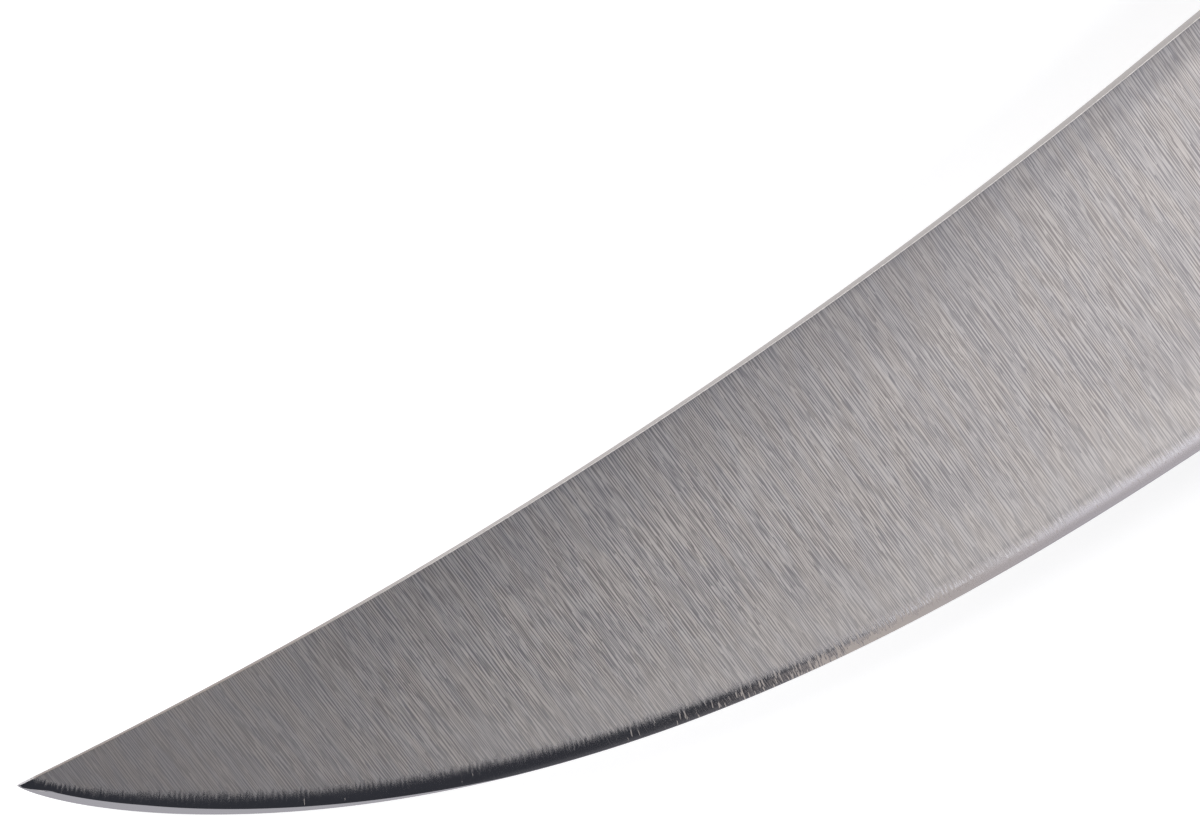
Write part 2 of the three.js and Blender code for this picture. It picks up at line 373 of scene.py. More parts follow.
@dataclass(frozen=True)
class Measures:
    """Sockets with what the blade's blank knows at each point, in millimetres or as a share."""

    above_edge: Socket
    along_edge: Socket
    below_spine: Socket
    from_tip: Socket
    honed_share: Socket


@dataclass(frozen=True)
class GroundSteel:
    """Stainless steel, ground across the blade on a belt, with a buffed edge bevel.

    The belt leaves straight lines from spine to edge, so light smears along the blade and stays tight across
    it. The bevel is buffed nearly to a mirror and shows the dark ceiling or the lamp. Ticks square to the
    edge, left over from the belt, break it up towards the heel.
    """

    # Tints
    # groove and land: painted shade and painted highlight on the two flanks of each scratch, which the
    # relief gives
    groove: str = "#8a8687"
    land: str = "#e0dad7"
    cool: str = "#adacb8"
    warm: str = "#c4b7b1"
    even: str = "#c1bbba"
    # a darker tint: painted shade below the spine and at the satin bevel's edge, and the darker speckled row
    # above the bevel
    dull: str = "#5c5f69"
    bevel: str = "#c0bcbe"
    satin_warm: str = "#d2c9c3"
    satin_cool: str = "#cbc8ce"
    honed: str = "#cfcbcd"
    spine: str = "#aea8a6"
    # painted highlight on the spine's eased corner
    spine_corner: str = "#f0eae6"
    spine_point: str = "#7d716b"
    # Ground lines
    line_size: Point = (0.18, 12.0)  # belt lines are about 0.04 mm wide, drawn coarser to show
    line_turn: float = 2.0
    line_seeds: Point = (1000.0, 3000.0)  # of two layers, which take turns
    line_flank: Band = Band(-0.218, 0.218)
    line_depth: float = 0.001
    break_size: Size = (0.19, 3.2, 2.0)  # the lines break off, and others start, after a few millimetres
    break_off: Band = Band(0.47, 0.53)
    heel_fade: Band = Band(75.0, 150.0, 0.0, 0.3)  # along the edge: the lines' painted shade and highlight fade towards the heel
    point_fade: Band = Band(55.0, 12.0, 0.0, 0.45)  # from the point: and to the point
    patch_size: Size = (1.8, 9.0, 2.0)
    patch_border: Band = Band(0.4, 0.6)
    patch_strength: float = 0.15
    # Brighter and darker parts of the face; the darker ones below the spine are painted shade
    near_bevel: Band = Band(14.0, 4.0, 0.0, 0.25)  # above the edge
    past_tip: Band = Band(40.0, 65.0)  # along the edge
    near_spine: Band = Band(16.0, 0.0, 0.0, 0.3)  # below the spine: painted shade, darker towards the spine
    past_point: Band = Band(18.0, 60.0)  # from the point: where the painted spine shade starts
    before_heel: Band = Band(170.0, 115.0)  # from the point: where the painted spine shade ends
    dull_strips: tuple[tuple[Band, Band], ...] = (  # painted shade in narrow bands: below the spine, and from the point
        (Band(5.0, 2.4), Band(115.0, 165.0, 0.0, 0.3)),
        (Band(1.4, 0.3), Band(50.0, 85.0, 0.0, 0.17)),
        (Band(0.4, 0.1), Band(50.0, 85.0, 0.0, 0.25)))
    scuff_foot: Band = Band(2.2, 2.9)  # above the edge: a darker speckled row lies along the top of the bevel
    scuff_top: Band = Band(3.7, 2.9)  # above the edge
    scuff_speckle: Band = Band(0.42, 0.56)
    scuff_start: Band = Band(90.0, 130.0, 0.0, 0.2)  # along the edge
    # Spine
    on_spine: Band = Band(0.14, 0.1)  # below the spine
    on_corner: Band = Band(0.015, 0.055)  # below the spine: where the painted corner highlight starts
    thin_spine: Band = Band(60.0, 28.0, 0.0, 0.7)  # from the point
    # Bevel
    tick_size: Size = (0.3, 1.9, 1.0)
    tick_count: Band = Band(60.0, 150.0, -0.14, 0.31)  # along the edge, from bare to whole satin
    tick_low: Band = Band(0.3, 1.3, 0.12, -0.08)  # above the edge: they start at its lower border
    tick_low_start: Band = Band(92.0, 112.0)  # along the edge
    tick_border: Band = Band(0.56, 0.62, 0.0, 0.95)
    fray: float = 2.2  # how far the ticks fray the bevel's upper border
    bevel_clean: float = 1.25  # the bevel is whole up to here
    belly_bevel: Band = Band(55.0, 80.0, 3.5, 2.9)  # along the edge: height where the face is whole
    point_bevel: Band = Band(2.0, 25.0, 2.3, 3.5)  # along the edge: the same, close to the point
    satin_gloss: Band = Band(105.0, 140.0)  # along the edge
    satin_dim: Band = Band(1.3, 0.3, 0.0, 0.25)  # above the edge: painted shade, darker towards the very edge
    honed_border: Band = Band(0.97, 1.0)  # share of the honed edge's width
    # Gloss
    roughness: Band = Band(0.0, 1.0, 0.36, 0.32)  # from groove to land
    satin_roughness: Band = Band(0.0, 1.0, 0.34, 0.21)  # from matt to glossy satin
    bevel_roughness: float = 0.1
    anisotropy: float = 0.7
    uv_map: str = "along_the_blade"

    def relief(self, make: PatternMaker, where: Socket) -> Node:
        """Lay the ground lines.

        Args:
            make: Pattern maker.
            where: Object coordinates.

        Returns:
            Node with the height of the surface, from 0 in a groove to 1 on a land.
        """
        first, other = (make.scratches(where, self.line_size, self.line_turn, seed)
                        for seed in self.line_seeds)
        breaks = make.ramp(make.grain(where, self.break_size, seed=3.0, detail=0.0), self.break_off)
        layers = {"Factor_Float": breaks, "A_Float": first, "B_Float": other}
        return make.ramp(add_node(make.tree, "ShaderNodeMix", layers), self.line_flank)

    def face(self, make: PatternMaker, where: Socket, relief: Node, at: Measures) -> Node:
        """Colour the ground face: its lines, in painted shade and highlight on their flanks, faint patches,
        a brighter part towards the bevel and painted shade below the spine.

        Args:
            make: Pattern maker.
            where: Object coordinates.
            relief: Height of the ground lines.
            at: The blade's measures.

        Returns:
            Node with the colour.
        """
        fade = add_node(make.tree, "ShaderNodeMath", {
            0: make.ramp(at.along_edge, self.heel_fade), 1: make.ramp(at.from_tip, self.point_fade)},
            operation="MAXIMUM")
        # the lines' colour, from groove to land, is painted shade and highlight on the scratches' flanks,
        # and it fades to an even tone
        evened = make.blend(make.blend(self.groove, self.land, relief), self.even, fade)
        patches = make.ramp(make.grain(where, self.patch_size, seed=4.0), self.patch_border)
        toned = make.blend(evened, make.blend(self.cool, self.warm, patches), self.patch_strength)
        bright = make.blend(toned, self.land, make.ramp(at.above_edge, self.near_bevel),
                            make.ramp(at.along_edge, self.past_tip))
        # painted shade below the spine, starting some way from the point and ending before the heel, then
        # narrow bands of it
        spine_shaded = make.blend(bright, self.dull, make.ramp(at.below_spine, self.near_spine),
                            make.ramp(at.from_tip, self.past_point),
                            make.ramp(at.from_tip, self.before_heel))
        for strip, stretch in self.dull_strips:
            spine_shaded = make.blend(spine_shaded, self.dull, make.ramp(at.below_spine, strip),
                                make.ramp(at.from_tip, stretch))
        return spine_shaded

    def with_borders(self, make: PatternMaker, face: Node, ticks: Node, at: Measures) -> Node:
        """Add the darker speckled row above the bevel, and the spine with its painted corner highlight, to
        the face.

        Args:
            make: Pattern maker.
            face: Colour of the face.
            ticks: Ticks square to the edge.
            at: The blade's measures.

        Returns:
            Node with the colour.
        """
        # a darker speckled row along the top of the bevel
        darkened_row = make.blend(face, self.dull, make.ramp(at.above_edge, self.scuff_foot),
                             make.ramp(at.above_edge, self.scuff_top), make.ramp(ticks, self.scuff_speckle),
                             make.ramp(at.along_edge, self.scuff_start))
        # painted highlight along the spine's eased corner
        cornered = make.blend(self.spine, self.spine_corner, make.ramp(at.below_spine, self.on_corner))
        spine = make.blend(cornered, self.spine_point, make.ramp(at.from_tip, self.thin_spine))
        return make.blend(darkened_row, spine, make.ramp(at.below_spine, self.on_spine))

    def face_share(self, make: PatternMaker, ticks: Node, at: Measures) -> Node:
        """Find where the face is whole, above a border that the ticks fray.

        Args:
            make: Pattern maker.
            ticks: Ticks square to the edge.
            at: The blade's measures.

        Returns:
            Node that gives 0 on the bevel and 1 on the face.
        """
        centred = add_node(make.tree, "ShaderNodeMath", {0: ticks, 1: NOISE_MIDDLE}, operation="SUBTRACT")
        frayed = add_node(make.tree, "ShaderNodeMath", {0: centred, 1: self.fray, 2: at.above_edge},
                          operation="MULTIPLY_ADD")
        top = add_node(make.tree, "ShaderNodeMath", {
            0: make.ramp(at.along_edge, self.belly_bevel), 1: make.ramp(at.along_edge, self.point_bevel)},
            operation="MINIMUM")
        return make.ramp(frayed, Band(self.bevel_clean, top))

    def satin_share(self, make: PatternMaker, ticks: Node, at: Measures) -> Node:
        """Find where the bevel keeps the belt's satin, in ticks that join up towards the heel.

        Args:
            make: Pattern maker.
            ticks: Ticks square to the edge.
            at: The blade's measures.

        Returns:
            Node that gives 0 where the bevel is buffed.
        """
        bias = add_node(make.tree, "ShaderNodeMath", {
            0: make.ramp(at.above_edge, self.tick_low), 1: make.ramp(at.along_edge, self.tick_low_start),
            2: make.ramp(at.along_edge, self.tick_count)}, operation="MULTIPLY_ADD")
        ticked = add_node(make.tree, "ShaderNodeMath", {0: ticks, 1: bias}, operation="ADD")
        return make.ramp(ticked, self.tick_border)

    def material(self) -> Material:
        """Build the finish."""
        material, make = start_material("ground_stainless_steel")
        tree = make.tree
        where = make.object_coordinates()
        at = Measures(*(add_node(tree, "ShaderNodeAttribute", attribute_name=measure.name).outputs["Fac"]
                        for measure in fields(Measures)))
        follow = add_node(tree, "ShaderNodeCombineXYZ", {"X": at.along_edge, "Y": at.above_edge})
        ticks = make.grain(follow, self.tick_size, seed=5.0, detail=1.0, unit=1.0)
        relief = self.relief(make, where)
        on_face = self.face_share(make, ticks, at)
        in_satin = self.satin_share(make, ticks, at)
        glossy = make.ramp(at.along_edge, self.satin_gloss)

        # painted shade: the glossy satin darkens towards the very edge
        satin = make.blend(make.blend(self.satin_warm, self.satin_cool, glossy), self.dull,
                           make.ramp(at.above_edge, self.satin_dim), glossy)
        buffed = make.blend(self.honed, self.bevel, make.ramp(at.honed_share, self.honed_border))
        face = self.with_borders(make, self.face(make, where, relief, at), ticks, at)
        colour = make.blend(make.blend(buffed, satin, in_satin), face, on_face)
        rough_bevel = add_node(tree, "ShaderNodeMix", {
            "Factor_Float": in_satin, "A_Float": self.bevel_roughness,
            "B_Float": make.ramp(glossy, self.satin_roughness)})
        rough = add_node(tree, "ShaderNodeMix", {
            "Factor_Float": on_face, "A_Float": rough_bevel, "B_Float": make.ramp(relief, self.roughness)})
        bump = add_node(tree, "ShaderNodeBump", {
            "Height": relief, "Distance": self.line_depth * MM, "Strength": 1.0})
        tangent = add_node(tree, "ShaderNodeTangent", direction_type="UV_MAP", uv_map=self.uv_map)
        return end_material(material, add_node(tree, "ShaderNodeBsdfPrincipled", {
            "Base Color": colour, "Metallic": 1.0, "Roughness": rough, "Anisotropic": self.anisotropy,
            "Tangent": tangent, "Normal": bump}))


@dataclass(frozen=True)
class Rosewood:
    """Rosewood, sawn along the grain, sanded and oiled.

    Dark streaks and reddish bands run along the handle, open pores show as short dark dashes, and the oil
    leaves a low sheen.
    """

    band_light: str = "#7a4327"
    band_dark: str = "#4a2215"
    streak: str = "#25110b"
    pore: str = "#190b07"
    ring_spacing: float = 3.4
    ring_crest: Band = Band(-1.0, 1.0)
    pith: Point = (44.0, -26.0)  # y and z of the tree's middle, in the frame
    sway_size: Size = (70.0, 16.0, 16.0)
    sway: float = 30.0  # radians of a ring that the sway can add
    streak_size: Size = (55.0, 1.5, 1.5)
    streak_border: Band = Band(0.52, 0.68, 0.0, 0.85)
    fibre_size: Size = (7.0, 0.16, 0.16)
    fibre_border: Band = Band(0.35, 0.75, 0.0, 0.4)
    fibre_relief: float = 0.25  # share of the relief, beside the pores
    pore_size: Size = (3.2, 0.22, 0.22)
    pore_border: Band = Band(0.62, 0.7)
    pore_dent: Band = Band(0.58, 0.7, 1.0, 0.0)
    relief: float = 0.04
    relief_strength: float = 0.7
    roughness: Band = Band(0.3, 0.7, 0.34, 0.48)  # between fibres and on them

    def material(self) -> Material:
        """Build the finish."""
        material, make = start_material("oiled_rosewood")
        tree = make.tree
        where = make.object_coordinates()
        sway = make.grain(where, self.sway_size, seed=11.0)
        streaks = make.grain(where, self.streak_size, seed=12.0, detail=4.0)
        fibres = make.grain(where, self.fibre_size, seed=13.0)
        pores = make.grain(where, self.pore_size, seed=14.0, detail=0.0)

        pith = (0.0, self.pith[0] * MM, self.pith[1] * MM)
        offset = add_node(tree, "ShaderNodeVectorMath", {0: where, 1: pith}, operation="SUBTRACT")
        across = add_node(tree, "ShaderNodeVectorMath", {0: offset, 1: (0.0, 1.0, 1.0)},
                          operation="MULTIPLY")
        radius = add_node(tree, "ShaderNodeVectorMath", {0: across}, operation="LENGTH").outputs["Value"]
        ring = 2 * math.pi / (self.ring_spacing * MM)
        turns = add_node(tree, "ShaderNodeMath", {0: radius, 1: ring}, operation="MULTIPLY")
        waver = add_node(tree, "ShaderNodeMath", {0: sway, 1: self.sway, 2: turns}, operation="MULTIPLY_ADD")
        rings = add_node(tree, "ShaderNodeMath", {0: waver}, operation="SINE")

        banded = make.blend(self.band_dark, self.band_light, make.ramp(rings, self.ring_crest))
        streaked = make.blend(banded, self.streak, make.ramp(streaks, self.streak_border))
        fibrous = make.blend(streaked, self.streak, make.ramp(fibres, self.fibre_border))
        pored = make.blend(fibrous, self.pore, make.ramp(pores, self.pore_border))
        dents = make.ramp(pores, self.pore_dent)
        height = add_node(tree, "ShaderNodeMix", {
            "Factor_Float": self.fibre_relief, "A_Float": dents, "B_Float": fibres})
        bump = add_node(tree, "ShaderNodeBump", {
            "Height": height, "Distance": self.relief * MM, "Strength": self.relief_strength})
        return end_material(material, add_node(tree, "ShaderNodeBsdfPrincipled", {
            "Base Color": pored, "Roughness": make.ramp(fibres, self.roughness), "Normal": bump}))


@dataclass(frozen=True)
class Brass:
    """Brass, ground flush with the wood and polished.

    It is bright yellow with hair lines along the handle, and a little tarnish sits at the rim of each head.
    """

    bright: str = "#d8b566"
    worn: str = "#b98f45"
    tarnish: str = "#7a5a2a"
    line_size: Size = (6.0, 0.12, 1.0)  # polishing lines are finer, drawn coarser to show
    line_border: Band = Band(0.35, 0.7)
    line_depth: float = 0.004
    line_strength: float = 0.8
    cloud_size: Size = (2.5, 2.5, 2.5)
    cloud_border: Band = Band(0.5, 0.75, 0.0, 0.35)
    rim: Band = Band(3.44, 4.0, 0.0, 0.7)  # from the rivet's axis
    roughness: Band = Band(0.3, 0.7, 0.19, 0.34)  # between the lines and on them

    def material(self) -> Material:
        """Build the finish."""
        material, make = start_material("polished_brass")
        tree = make.tree
        where = make.object_coordinates()
        lines = make.grain(where, self.line_size, seed=21.0)
        cloud = make.grain(where, self.cloud_size, seed=22.0)
        from_axis = add_node(tree, "ShaderNodeAttribute", attribute_name="from_axis").outputs["Fac"]
        lined = make.blend(self.bright, self.worn, make.ramp(lines, self.line_border))
        clouded = make.blend(lined, self.worn, make.ramp(cloud, self.cloud_border))
        coloured = make.blend(clouded, self.tarnish, make.ramp(from_axis, self.rim))
        bump = add_node(tree, "ShaderNodeBump", {
            "Height": lines, "Distance": self.line_depth * MM, "Strength": self.line_strength})
        return end_material(material, add_node(tree, "ShaderNodeBsdfPrincipled", {
            "Base Color": coloured, "Metallic": 1.0, "Roughness": make.ramp(lines, self.roughness),
            "Normal": bump}))


def bezier(controls: Sequence[Point], t: float) -> Point:
    """Give the point of a cubic curve at t from 0 to 1."""
    weights = ((1 - t) ** 3, 3 * t * (1 - t) ** 2, 3 * t * t * (1 - t), t ** 3)
    x, y = (sum(w * p[axis] for w, p in zip(weights, controls)) for axis in (0, 1))
    return x, y


def circle(x: float, y: float, radius: float, sides: int) -> list[Point]:
    """Give the corners of a round hole."""
    turns = [2 * math.pi * i / sides for i in range(sides)]
    return [(x + radius * math.cos(a), y + radius * math.sin(a)) for a in turns]


def inset(loop: Sequence[Point], distance: float) -> list[Point]:
    """Draw a clockwise outline in by a distance.

    Args:
        loop: Corners of the outline.
        distance: How far its sides move inwards.

    Returns:
        The corners, moved along their mitres.
    """
    moved = []
    for i, (x, y) in enumerate(loop):
        before = Vector((x, y)) - Vector(loop[i - 1])
        after = Vector(loop[(i + 1) % len(loop)]) - Vector((x, y))
        first = Vector((before.y, -before.x)).normalized()
        second = Vector((after.y, -after.x)).normalized()
        mitre = (first + second) / (1 + first.dot(second))
        moved.append((x + distance * mitre.x, y + distance * mitre.y))
    return moved


@dataclass(frozen=True)
class HandleOutline:
    """Side view of the handle, shared by the tang and the scales."""

    length: float
    front_top: float = 14.0
    front_bottom: float = -14.0
    front_straight: float = 6.2
    groove: Point = (24.0, -11.8)  # finger groove
    swell: Point = (57.0, -15.0)  # palm swell
    waist_from_butt: float = 40.0
    waist_bottom: float = -12.2
    hook_from_butt: float = 12.0
    hook_bottom: float = -19.5
    butt_height: float = -4.0
    crown: Point = (50.0, 15.0)
    rear_from_butt: float = 30.0
    rear_top: float = 12.6
    steps: int = 28  # chords in each curve

    def wave(self, start: Point, end: Point) -> list[Point]:
        """Give the controls of a curve that leaves and arrives level."""
        middle = (start[0] + end[0]) / 2
        return [start, (middle, start[1]), (middle, end[1]), end]

    def corners(self) -> list[Point]:
        """Give the outline clockwise, from the top of the front round the butt to the foot of the front."""
        top = (self.front_straight, self.front_top)
        foot = (self.front_straight, self.front_bottom)
        rear = (self.length - self.rear_from_butt, self.rear_top)
        butt = (self.length, self.butt_height)
        hook = (self.length - self.hook_from_butt, self.hook_bottom)
        waist = (self.length - self.waist_from_butt, self.waist_bottom)
        over = [rear, ((rear[0] + butt[0]) / 2, rear[1]), (butt[0], (rear[1] + butt[1]) / 2), butt]
        under = [butt, (butt[0], (hook[1] + butt[1]) / 2), ((hook[0] + butt[0]) / 2, hook[1]), hook]
        curves = [self.wave(top, self.crown), self.wave(self.crown, rear), over, under]
        lower = [hook, waist, self.swell, self.groove, foot]
        curves += [self.wave(start, end) for start, end in zip(lower, lower[1:])]
        points = [(0.0, self.front_top)]
        for curve in curves:
            points += [bezier(curve, i / self.steps) for i in range(self.steps)]
        return [*points, foot, (0.0, self.front_bottom)]


@dataclass(frozen=True)
class BlankPoint:
    """A point of the flat blank, and what the grinding and the finish need to know there."""

    x: float
    y: float
    from_tip: float = 0.0
    below_spine: float = 0.0
    above_edge: float = 0.0  # square to the edge
    along_edge: float = 0.0
    ease_share: float = 1.0  # 0 on the spine, 1 below its eased corner
    taper_share: float = 0.0  # 0 at the shoulder of the bevel, 1 where the grind leaves the parallel flat
    bevel_share: float = 0.0  # 0 above the honed edge, 1 at the shoulder
    honed_share: float = 0.0  # 0 at the very edge, 1 at the top of the honed edge
    honed_width: float = 0.0  # square to the edge
    tang: float = 0.0  # 1 on the tang, which isn't ground


@dataclass(frozen=True)
class Section:
    """Heights of one upright section of the blade, from the spine down to the edge."""

    top: float
    eased: float
    grind: float
    shoulder: float
    honed: float
    edge: float

    def choil(self, share: float) -> float:
        """Give the height that lies a share of the way from the shoulder to the grind."""
        return self.shoulder + share * (self.grind - self.shoulder)


def share_of(value: float, low: float, high: float) -> float:
    """Give how far a value lies from low to high, kept from 0 to 1."""
    return min(1.0, max(0.0, (value - low) / (high - low)))


@dataclass(frozen=True)
class Blade:
    """Ground blade and tang in one piece."""

    datum: Datum
    outline: HandleOutline
    finish: GroundSteel
    length: float
    rivets: Sequence[float]
    # Side view
    tip_height: float = 13.0
    tip_slope: float = -0.158
    saddle: Point = (160.0, 8.3)
    saddle_slope: float = 0.095
    belly_from_tip: float = 160.0
    belly_drop: float = 50.6
    belly_fullness: float = 2.74
    tip_roundness: float = 0.814
    heel_setback: float = 10.0
    heel_rise: float = 7.9
    heel_radius: float = 2.0
    choil_radius: float = 7.0
    allowance: float = 0.02  # ground faces lie this far inside the rolled sheet
    rivet_hole: float = 2.6
    # Thickness
    sheet: float = 2.5
    tip_thickness: float = 0.6
    taper_length: float = 220.0
    taper_curve: float = 1.3  # above 1, so that it thins more and more slowly towards the point
    point_length: float = 0.8
    ease: float = 0.1
    ease_limit: float = 0.5  # the most of half the thickness that an eased corner takes
    grind_run: float = 45.0
    shoulder: float = 0.6
    tip_shoulder: float = 0.6
    bevel_width: float = 2.8
    bevel_limit: float = 0.4
    bevel_fullness: float = 1.8
    honed_width: float = 0.06
    tip_honed: float = 0.95  # the honed edge is wider towards the point
    point_honed: float = 0.85
    honed_from: float = 11.0
    honed_to: float = 49.0
    honed_limit: float = 0.8  # the most of the bevel's height that it takes
    honed_slope: float = 0.3
    honed_top_limit: float = 0.9  # the most of the shoulder's thickness at its top
    edge_half: float = 0.015
    # Fineness
    columns: int = 230
    crowding: float = 1.3
    ease_rows: int = 4
    flat_rows: int = 3
    upper_rows: int = 12
    lower_rows: int = 7
    bevel_rows: int = 9
    honed_rows: int = 2
    heel_steps: int = 6
    choil_steps: int = 10
    hole_sides: int = 40
    crease: float = 35.0

    def span(self, t: float, run: float, start: Point, end: Point) -> float:
        """Give the height on a smooth span.

        Args:
            t: Place on the span, from 0 to 1.
            run: Length of the span.
            start: Height and slope where it leaves.
            end: Height and slope where it arrives.

        Returns:
            The height there.
        """
        leaving = (1 - t) ** 2 * ((1 + 2 * t) * start[0] + t * run * start[1])
        arriving = t ** 2 * ((3 - 2 * t) * end[0] - (1 - t) * run * end[1])
        return leaving + arriving

    def spine_height(self, from_tip: float) -> float:
        """Give the height of the spine at a distance from the point."""
        run, height = self.saddle
        middle = (height, self.saddle_slope)
        if from_tip < run:
            return self.span(from_tip / run, run, (self.tip_height, self.tip_slope), middle)
        rest = self.length - run
        t = min(1.0, (from_tip - run) / rest)
        return self.span(t, rest, middle, (self.outline.front_top - self.allowance, 0.0))

    def edge_height(self, from_tip: float) -> float:
        """Give the height of the cutting edge at a distance from the point."""
        if from_tip < self.belly_from_tip:
            sweep = 1 - (1 - from_tip / self.belly_from_tip) ** self.belly_fullness
            return self.tip_height - self.belly_drop * sweep ** self.tip_roundness
        t = (from_tip - self.belly_from_tip) / (self.length - self.heel_setback - self.belly_from_tip)
        return self.tip_height - self.belly_drop + self.heel_rise * t ** 2

    def edge_slope(self, from_tip: float) -> float:
        """Give the slope of the cutting edge at a distance from the point."""
        probe = from_tip * SLOPE_STEP
        return (self.edge_height(from_tip + probe) - self.edge_height(from_tip - probe)) / (2 * probe)

    def section(self, from_tip: float) -> Section:
        """Give the heights of the section at a distance from the point."""
        top = self.spine_height(from_tip)
        edge = self.edge_height(from_tip)
        stretch = math.hypot(1, self.edge_slope(from_tip))
        taper = share_of(from_tip, 0, self.taper_length) ** self.taper_curve
        half = (self.tip_thickness + (self.sheet - self.tip_thickness) * taper) / 2
        ease = min(self.ease, self.ease_limit * half, self.bevel_limit * (top - edge) / 2)
        bevel = min(self.bevel_width * stretch, self.bevel_limit * (top - edge))
        wide = share_of(from_tip, self.honed_to, self.honed_from)
        past_point = share_of(from_tip, 0, self.honed_from)
        widest = self.point_honed + (self.tip_honed - self.point_honed) * past_point
        honed = (self.honed_width + wide * (widest - self.honed_width)) * stretch
        honed = min(honed, self.honed_limit * bevel)
        parallel = self.outline.front_bottom + (self.outline.front_top - self.outline.front_bottom) * (
            self.length - from_tip) / self.grind_run
        return Section(top, top - ease, min(parallel, top - 2 * ease), edge + bevel, edge + honed, edge)

    def lower_border(self, x: float) -> float:
        """Give the height of the blade's lower outline near the heel: edge, eased heel, then the choil."""
        if x <= -self.heel_setback:
            edge = self.edge_height(self.length + x)
            centre = -self.heel_setback - self.heel_radius
            if x < centre:
                return edge
            lift = self.edge_height(self.length + centre) + self.heel_radius - self.honed_width
            across = min(self.heel_radius, x - centre)
            return max(edge, lift - math.sqrt(self.heel_radius ** 2 - across ** 2))
        ceiling = self.outline.front_bottom + self.allowance
        short = max(0.0, self.choil_radius - self.heel_setback - x)
        return ceiling - self.choil_radius + math.sqrt(self.choil_radius ** 2 - short ** 2)

    def column_places(self) -> list[float]:
        """Give x of the blank's columns, from just behind the point to the front of the handle."""
        ease_start = -self.heel_setback - self.heel_radius
        run = self.length + ease_start
        places = [run * ((i + 1) / self.columns) ** self.crowding - self.length for i in range(self.columns)]
        turns = [math.pi / 2 * (i + 1) / self.heel_steps for i in range(self.heel_steps)]
        places += [ease_start + self.heel_radius * math.sin(a) for a in turns]
        turns = [math.pi / 2 * (i + 1) / self.choil_steps for i in range(self.choil_steps)]
        places += [self.choil_radius * (1 - math.cos(a)) - self.heel_setback for a in turns]
        return [*places, (self.choil_radius - self.heel_setback) / 2, 0.0]

    def row_heights(self, x: float, choil_share: float) -> list[float]:
        """Give the heights of one column's points, from the spine down.

        Args:
            x: Place of the column.
            choil_share: Where the row that ends at the choil lies, from the shoulder up to the grind.

        Returns:
            All rows as far back as the heel, and those above the choil behind it.
        """
        cut = self.section(self.length + x)
        border = self.lower_border(x)
        behind_heel = x > -self.heel_setback
        choil = border if behind_heel else cut.choil(choil_share)
        grind = max(cut.grind, choil + self.ease)
        turns = [math.pi / 2 * i / self.ease_rows for i in range(self.ease_rows + 1)]
        heights = [cut.top - (cut.top - cut.eased) * (1 - math.cos(a)) for a in turns]
        stretches = [(cut.eased, grind, self.flat_rows), (grind, choil, self.upper_rows)]
        if not behind_heel:
            rise = (choil - border) / (choil - cut.edge)
            shoulder = choil - rise * (choil - cut.shoulder)
            honed = choil - rise * (choil - cut.honed)
            stretches += [(choil, shoulder, self.lower_rows), (shoulder, honed, self.bevel_rows),
                          (honed, border, self.honed_rows)]
        for upper, lower, count in stretches:
            heights += [upper + (lower - upper) * (i + 1) / count for i in range(count)]
        return heights

    def blank_point(self, x: float, y: float, arc: float) -> BlankPoint:
        """Give a point of the blade's blank.

        Args:
            x: Place along the knife.
            y: Height.
            arc: Length of the edge from the point to the section there.

        Returns:
            The point with its shares of each ground stretch.
        """
        cut = self.section(self.length + x)
        slope = self.edge_slope(self.length + x)
        above = (y - cut.edge) / math.hypot(1, slope)
        return BlankPoint(
            x, y, from_tip=self.length + x, below_spine=cut.top - y, above_edge=above,
            along_edge=arc + above * slope, ease_share=share_of(y, cut.top, cut.eased),
            taper_share=share_of(y, cut.shoulder, cut.grind),
            bevel_share=share_of(y, cut.honed, cut.shoulder), honed_share=share_of(y, cut.edge, cut.honed),
            honed_width=(cut.honed - cut.edge) / math.hypot(1, slope))

    def tang_point(self, x: float, y: float) -> BlankPoint:
        """Give a point of the tang's blank, clear of every ground stretch."""
        return BlankPoint(x, y, from_tip=self.length + x, below_spine=self.length, above_edge=self.length,
                          taper_share=1.0, bevel_share=1.0, honed_share=1.0, tang=1.0)

    def net(self) -> tuple[list[BlankPoint], list[list[int]]]:
        """Lay out the points of the blade's blank.

        Returns:
            The points, of which the first is the point of the blade, and each column's places among them.
        """
        heel = self.section(self.length - self.heel_setback)
        ceiling = self.outline.front_bottom + self.allowance
        choil_share = share_of(ceiling - self.choil_radius, heel.shoulder, heel.grind)
        points = [BlankPoint(-self.length, self.tip_height)]
        columns = []
        arc, last = 0.0, (0.0, self.tip_height)
        for x in self.column_places():
            here = (self.length + x, self.edge_height(self.length + x))
            arc += math.dist(last, here)
            last = here
            heights = self.row_heights(x, choil_share)
            columns.append(list(range(len(points), len(points) + len(heights))))
            points += [self.blank_point(x, y, arc) for y in heights]
        return points, columns

    def blank(self) -> Mesh:
        """Make the flat blank: a net of columns and rows on the blade, and the drilled tang behind it.

        Returns:
            A flat mesh in the middle plane, whose point attributes are the fields of BlankPoint.
        """
        points, columns = self.net()
        faces = [(0, lower, upper) for upper, lower in zip(columns[0], columns[0][1:])]
        for left, right in zip(columns, columns[1:]):
            rows = min(len(left), len(right)) - 1
            faces += [(left[i], left[i + 1], right[i + 1], right[i]) for i in range(rows)]

        rim = columns[-1][::-1]
        border = [self.tang_point(x, y) for x, y in self.outline.corners()[1:-1]]
        holes = [[self.tang_point(x, y) for x, y in circle(place, 0.0, self.rivet_hole, self.hole_sides)]
                 for place in self.rivets]
        added = border + [point for hole in holes for point in hole]
        loops = [[points[i] for i in rim] + border, *holes]
        index = rim + list(range(len(points), len(points) + len(added)))
        points += added
        filled = tessellate_polygon([[Vector((p.x, p.y, 0)) for p in loop] for loop in loops])
        faces += [tuple(index[i] for i in triangle) for triangle in filled]
        return self.blank_mesh(points, faces)

